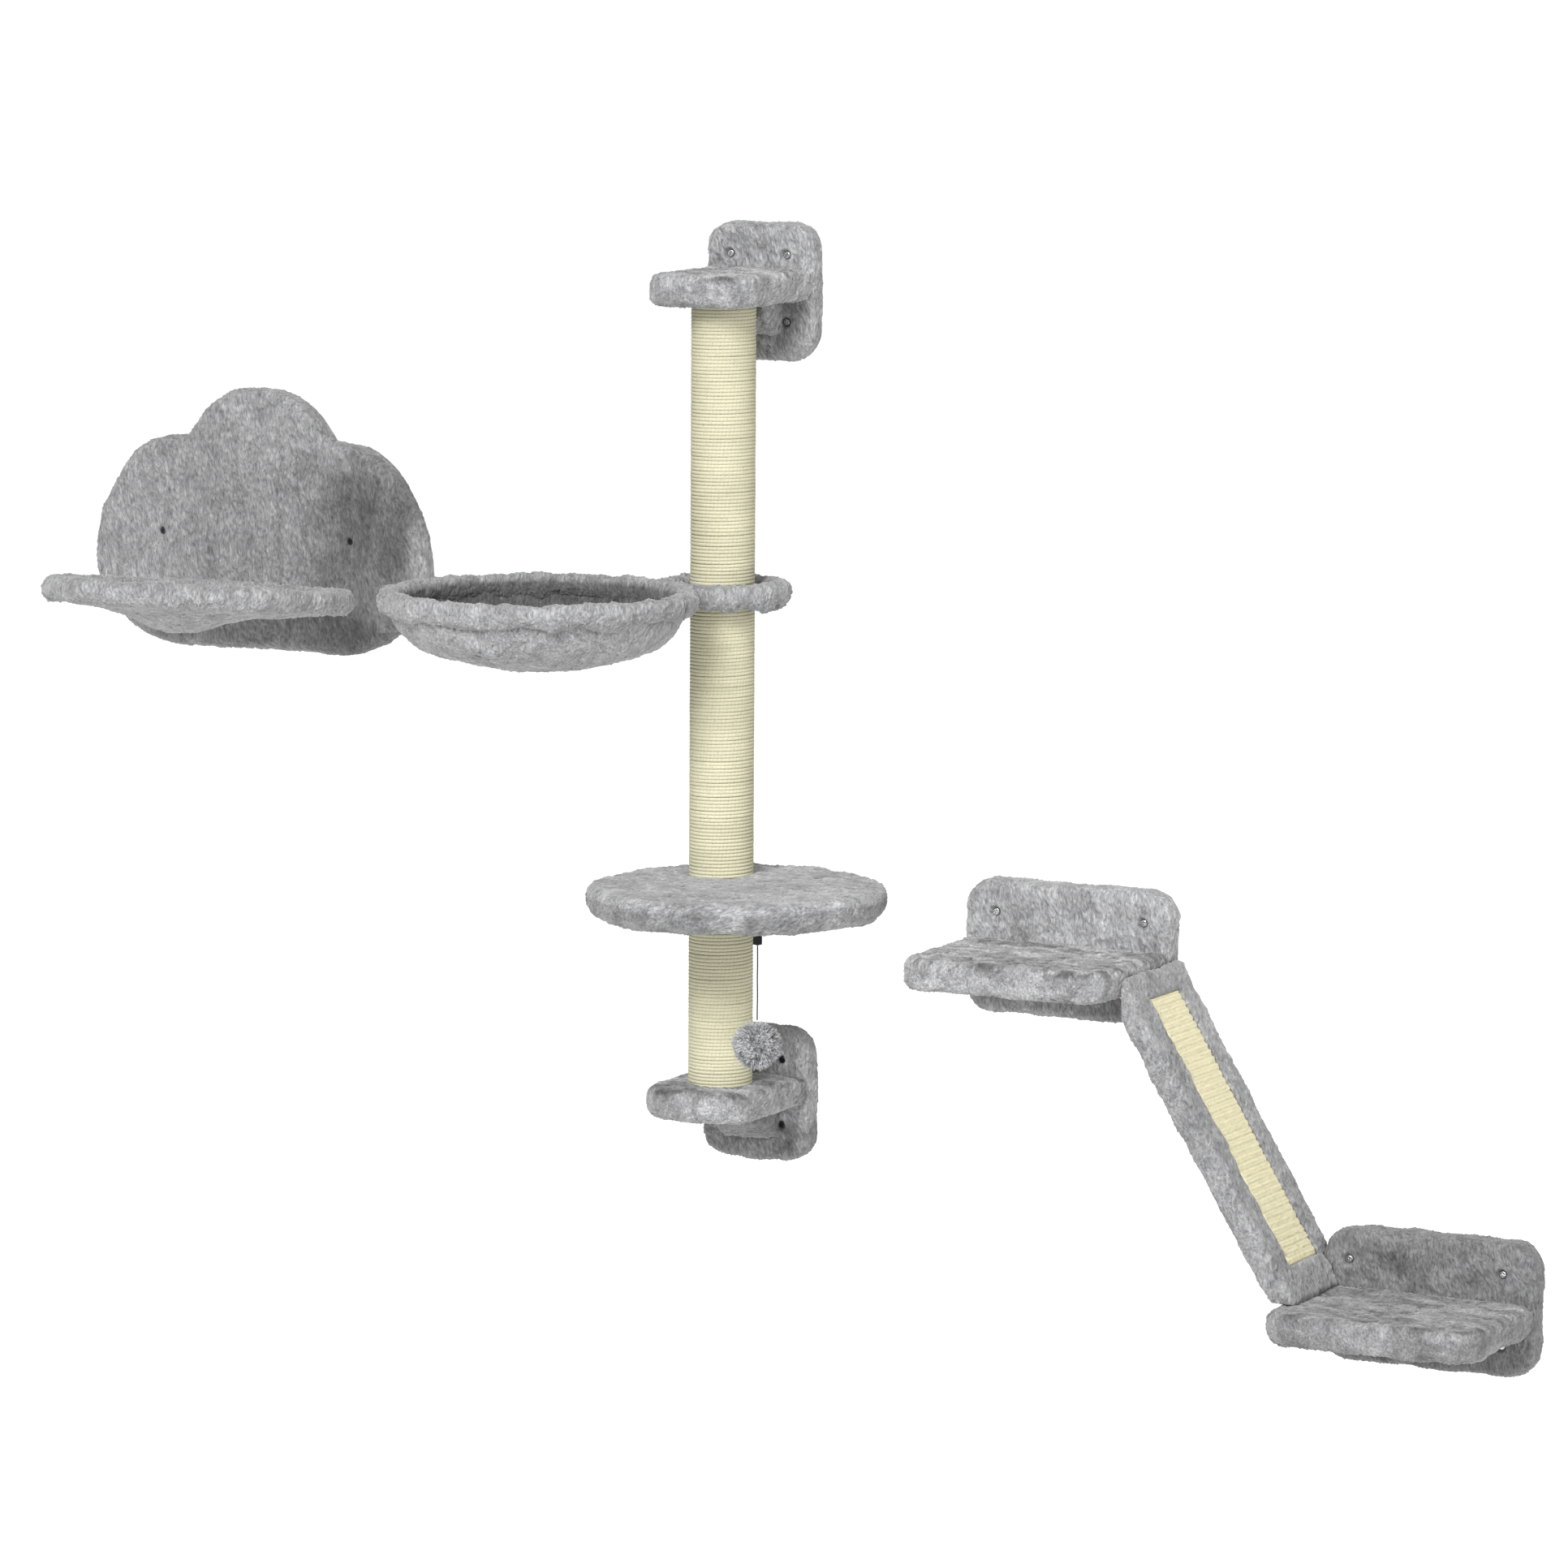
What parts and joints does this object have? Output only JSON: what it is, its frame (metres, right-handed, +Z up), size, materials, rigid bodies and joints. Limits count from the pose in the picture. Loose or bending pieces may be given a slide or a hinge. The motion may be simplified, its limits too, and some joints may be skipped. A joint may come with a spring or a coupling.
{
  "type": "wall mounted cat tree",
  "caption": "Wall climbing set for a cat: rope-wound post with swivelling hammock and round platform, lounger with cloud-shaped backboard, and plush wall steps joined by a scratching ramp.",
  "frame": {"origin": "the middle of the upper post bracket's four wall screws, on the wall's face", "axes": "+X to the right along the wall as seen from the room, +Y into the wall, +Z up"},
  "size_m": [1.816, 0.5046, 1.212],
  "materials": {
    "grey_plush": "long-pile plush, silver grey with darker clumps",
    "pompom_plush": "long fluffy pile, silver grey",
    "sisal_rope": "twisted natural sisal, cream",
    "sisal_mat": "ribbed woven sisal, cream",
    "board": "raw chipboard, unpainted",
    "card_tube": "spirally wound brown card",
    "wire_steel": "drawn steel wire",
    "zinc_steel": "zinc-plated",
    "bright_screw": "zinc-plated, cross recess",
    "dark_screw": "black phosphate",
    "black_plastic": "moulded, satin black",
    "black_string": "thin waxed black cord"
  },
  "bodies": {
    "wall_frame": {"bottom_bracket_gusset": "board", "bottom_bracket_gusset_cover": "grey_plush", "bottom_bracket_shelf_board": "board", "bottom_bracket_shelf_cover": "grey_plush", "bottom_bracket_wall_board": "board", "bottom_bracket_wall_cover": "grey_plush", "bottom_bracket_wall_screws": "dark_screw", "lounger_bag": "grey_plush", "lounger_board": "board", "lounger_board_cover": "grey_plush", "lounger_ring_bolts": "zinc_steel", "lounger_ring_cover": "grey_plush", "lounger_ring_frame": "wire_steel", "lounger_wall_screws": "dark_screw", "lower_post_rope": "sisal_rope", "lower_post_tube": "card_tube", "lower_step_shelf_board": "board", "lower_step_shelf_cover": "grey_plush", "lower_step_wall_board": "board", "lower_step_wall_cover": "grey_plush", "lower_step_wall_screws": "bright_screw", "middle_post_rope": "sisal_rope", "middle_post_tube": "card_tube", "platform_board": "board", "platform_cover": "grey_plush", "post_end_bolts": "zinc_steel", "post_end_plugs": "board", "post_joint_rods": "zinc_steel", "ramp_angle_screws": "bright_screw", "ramp_angles": "zinc_steel", "ramp_board": "board", "ramp_cover": "grey_plush", "ramp_foot_screws": "bright_screw", "ramp_sisal_mat": "sisal_mat", "shelf_joining_screws": "bright_screw", "swivel_washers": "zinc_steel", "top_bracket_gusset": "board", "top_bracket_gusset_cover": "grey_plush", "top_bracket_shelf_board": "board", "top_bracket_shelf_cover": "grey_plush", "top_bracket_wall_board": "board", "top_bracket_wall_cover": "grey_plush", "top_bracket_wall_screws": "bright_screw", "toy_plug": "black_plastic", "upper_post_rope": "sisal_rope", "upper_post_tube": "card_tube", "upper_step_shelf_board": "board", "upper_step_shelf_cover": "grey_plush", "upper_step_wall_board": "board", "upper_step_wall_cover": "grey_plush", "upper_step_wall_screws": "bright_screw"},
    "swing_hammock": {"hammock_ring_frame": "wire_steel", "hammock_ring_cover": "grey_plush", "hammock_bag": "grey_plush"},
    "toy_hanger": {"toy_knot": "black_string"},
    "toy_pendulum": {"toy_string": "black_string", "toy_pompom": "pompom_plush"}
  },
  "joints": [
    {"name": "hammock_swivel", "type": "hinge", "parent": "wall_frame", "child": "swing_hammock", "pos_m": [0, -0.114, -0.331], "axis": [0, 0, 1], "range_deg": [-34, 106]},
    {"name": "toy_swing_side", "type": "hinge", "parent": "wall_frame", "child": "toy_hanger", "pos_m": [0.126, -0.27, -0.6937], "axis": [0, 1, 0], "range_deg": [-45, 45]},
    {"name": "toy_swing_out", "type": "hinge", "parent": "toy_hanger", "child": "toy_pendulum", "pos_m": [0.126, -0.27, -0.6937], "axis": [1, 0, 0], "range_deg": [-45, 45]}
  ]
}
